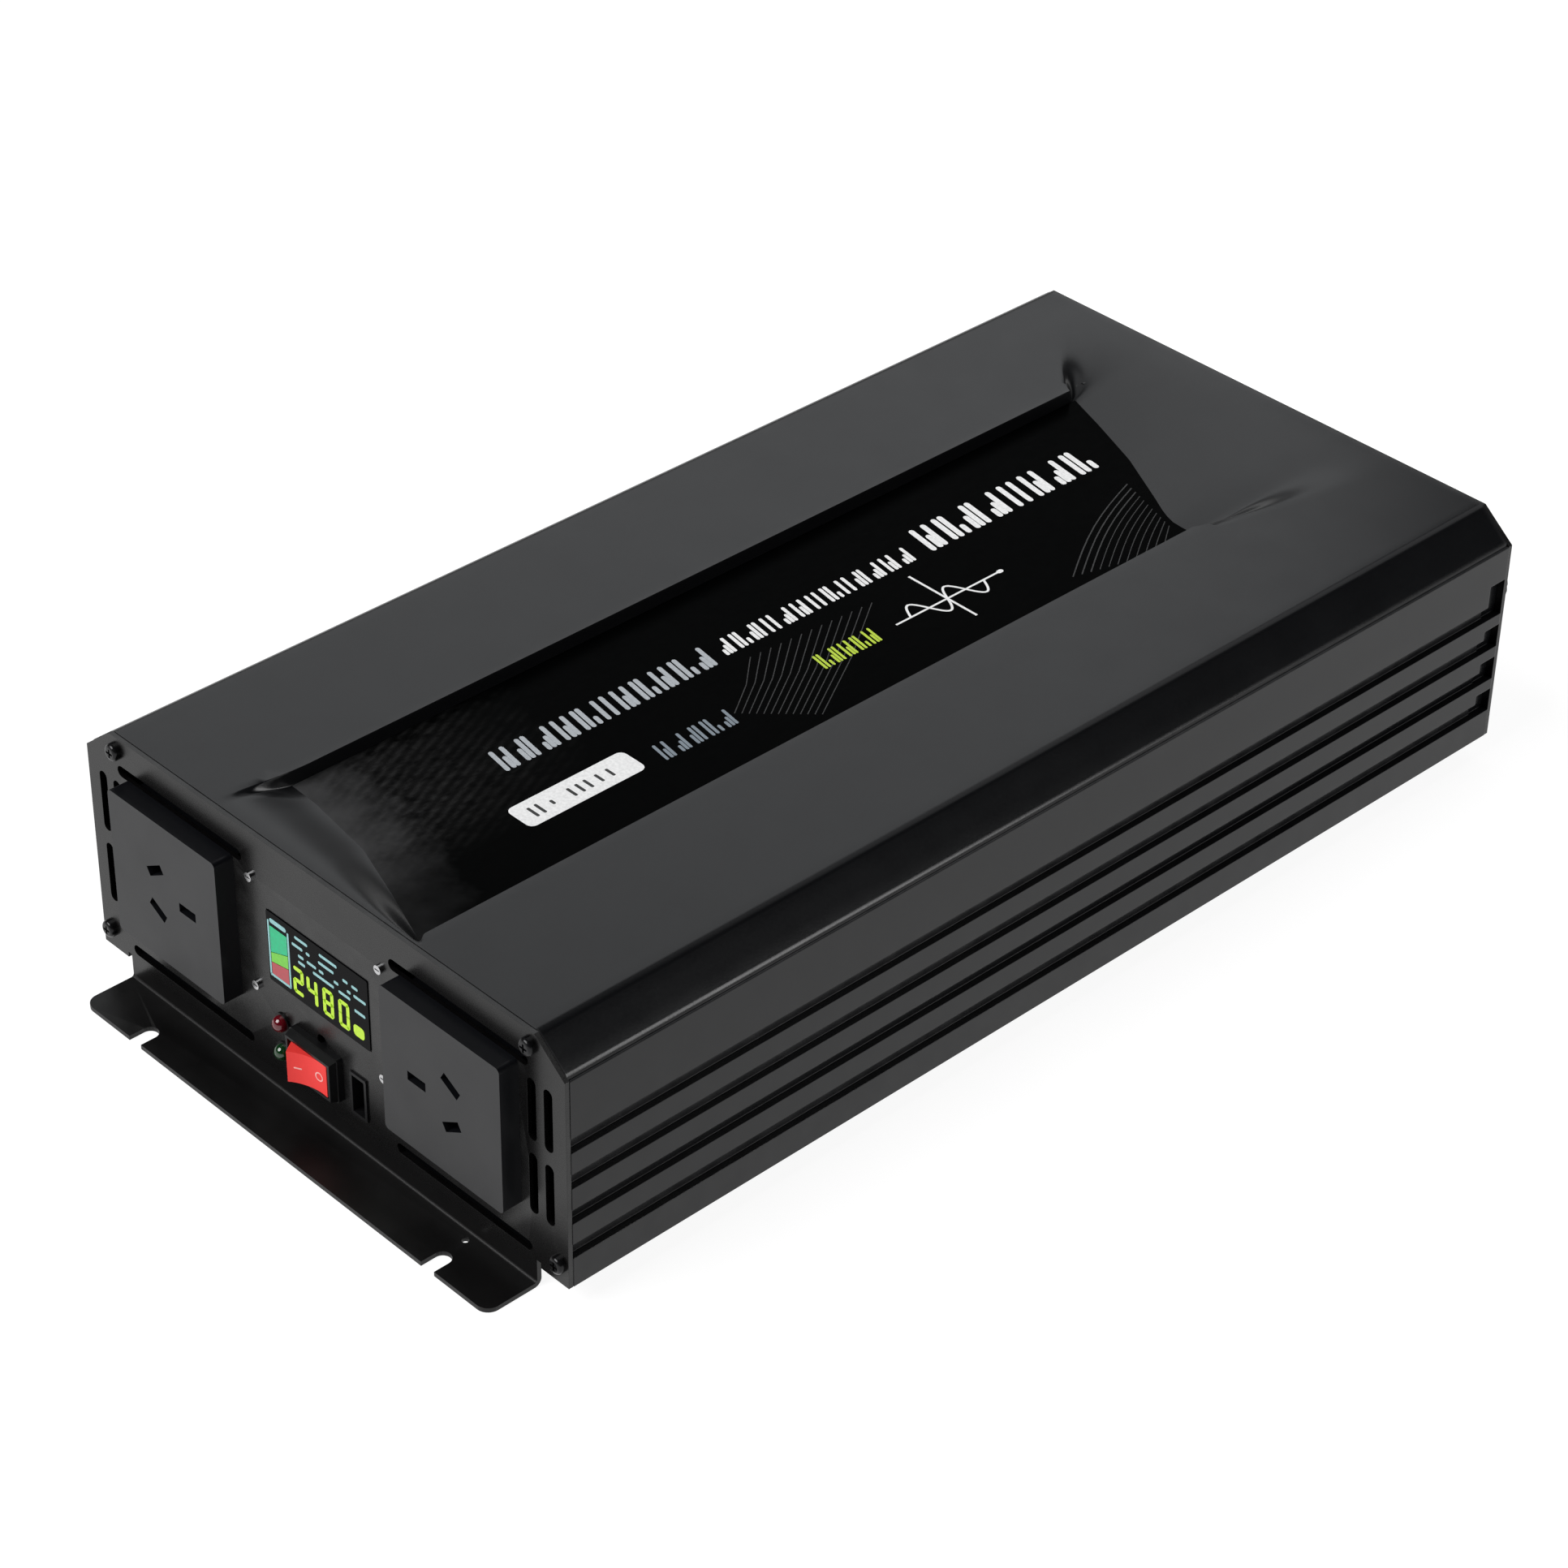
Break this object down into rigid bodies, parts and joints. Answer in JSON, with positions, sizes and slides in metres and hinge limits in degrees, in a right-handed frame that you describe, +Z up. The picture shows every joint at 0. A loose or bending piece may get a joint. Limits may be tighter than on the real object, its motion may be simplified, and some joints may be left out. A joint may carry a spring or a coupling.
{
  "type": "power inverter",
  "caption": "Low wide power inverter in a grooved extruded case, with flat-pin AC outlets, a display, a rocker switch and a USB outlet in front, and fans and battery terminals behind.",
  "frame": {"origin": "middle of the case, on the plane that the two mounting feet stand on", "axes": "+Z up, -Y towards the front panel with the outlets, +X to the right seen from the front"},
  "size_m": [0.204, 0.415, 0.0862],
  "materials": {
    "case_paint": "satin dark grey anodised or painted",
    "panel_paint": "satin dark grey powder coat",
    "label_gloss": "glossy black",
    "socket_plastic": "moulded dark grey",
    "black_plastic": "moulded black",
    "rocker_red": "red",
    "lamp_red": "clear red lens",
    "lamp_green": "clear green lens",
    "lcd_glass": "glossy black window",
    "screw_black": "black oxide",
    "steel_bright": "zinc plated",
    "brass": "plain",
    "copper": "bare copper",
    "aluminium": "mill finish",
    "board_green": "solder mask",
    "ferrite": "sintered",
    "tape_yellow": "insulating tape",
    "can_sleeve": "shrink sleeve",
    "terminal_red": "red",
    "wire_brown": "insulation",
    "wire_blue": "insulation",
    "wire_green": "insulation",
    "wire_red": "insulation"
  },
  "bodies": {
    "root": {"base_tray": "case_paint", "top_cover": "case_paint", "front_panel": "panel_paint", "rear_panel": "panel_paint", "label_plate": "label_gloss", "front_panel_screws": "screw_black", "rear_panel_screws": "screw_black", "socket_left": "socket_plastic", "socket_right": "socket_plastic", "socket_left_contacts": "brass", "socket_right_contacts": "brass", "lcd_window": "lcd_glass", "lcd_module": "black_plastic", "display_board": "board_green", "display_screws": "steel_bright", "buzzer": "black_plastic", "switch_body": "black_plastic", "switch_terminals": "brass", "led_red": "lamp_red", "led_green": "lamp_green", "led_holders": "black_plastic", "usb_shell": "black_plastic", "usb_tongue": "black_plastic", "usb_board": "board_green", "fan_frame_left": "black_plastic", "fan_frame_right": "black_plastic", "fan_guards": "steel_bright", "fan_screws": "screw_black", "fan_nuts": "steel_bright", "fan_leads": "wire_red", "red_terminal_base": "terminal_red", "black_terminal_base": "black_plastic", "terminal_studs": "brass", "terminal_nuts": "brass", "bus_bars": "copper", "earth_screw": "brass", "main_board": "board_green", "heat_sinks": "aluminium", "input_mosfets": "black_plastic", "bridge_mosfets": "black_plastic", "transformer_cores": "ferrite", "transformer_windings": "tape_yellow", "input_capacitors": "can_sleeve", "bus_capacitors": "can_sleeve", "output_choke_core": "ferrite", "output_choke_winding": "copper", "filter_capacitor": "tape_yellow", "control_board": "board_green", "control_chips": "black_plastic", "blade_fuses": "wire_green", "live_wires": "wire_brown", "neutral_wires": "wire_blue", "earth_wires": "wire_green"},
    "rocker": {"power_rocker": "rocker_red"},
    "fan_left": {"fan_rotor_left": "black_plastic"},
    "fan_right": {"fan_rotor_right": "black_plastic"},
    "red_washer": {"red_terminal_washer": "brass"},
    "red_knob": {"red_terminal_knob": "terminal_red"},
    "black_washer": {"black_terminal_washer": "brass"},
    "black_knob": {"black_terminal_knob": "black_plastic"}
  },
  "joints": [
    {"name": "rocker_tilt", "type": "hinge", "parent": "root", "child": "rocker", "pos_m": [-0.0014, -0.1896, 0.022], "axis": [0, 0, -1], "range_deg": [0, 32]},
    {"name": "fan_left_spin", "type": "hinge", "parent": "root", "child": "fan_left", "pos_m": [-0.032, 0.179, 0.0475], "axis": [0, 1, 0], "continuous": true},
    {"name": "fan_right_spin", "type": "hinge", "parent": "root", "child": "fan_right", "pos_m": [0.032, 0.179, 0.0475], "axis": [0, 1, 0], "continuous": true},
    {"name": "red_knob_travel", "type": "slide", "parent": "root", "child": "red_washer", "axis": [0, 1, 0], "range_m": [0, 0.0025]},
    {"name": "red_knob_turn", "type": "hinge", "parent": "red_washer", "child": "red_knob", "pos_m": [-0.082, 0.2, 0.0495], "axis": [0, 1, 0], "range_deg": [-725, 5]},
    {"name": "black_knob_travel", "type": "slide", "parent": "root", "child": "black_washer", "axis": [0, 1, 0], "range_m": [0, 0.0025]},
    {"name": "black_knob_turn", "type": "hinge", "parent": "black_washer", "child": "black_knob", "pos_m": [0.082, 0.2, 0.0495], "axis": [0, 1, 0], "range_deg": [-725, 5]}
  ],
  "couplings": [
    {"joint": "red_knob_turn", "follows": "red_knob_travel", "rad_per_m": -5026.5},
    {"joint": "black_knob_turn", "follows": "black_knob_travel", "rad_per_m": -5026.5}
  ]
}
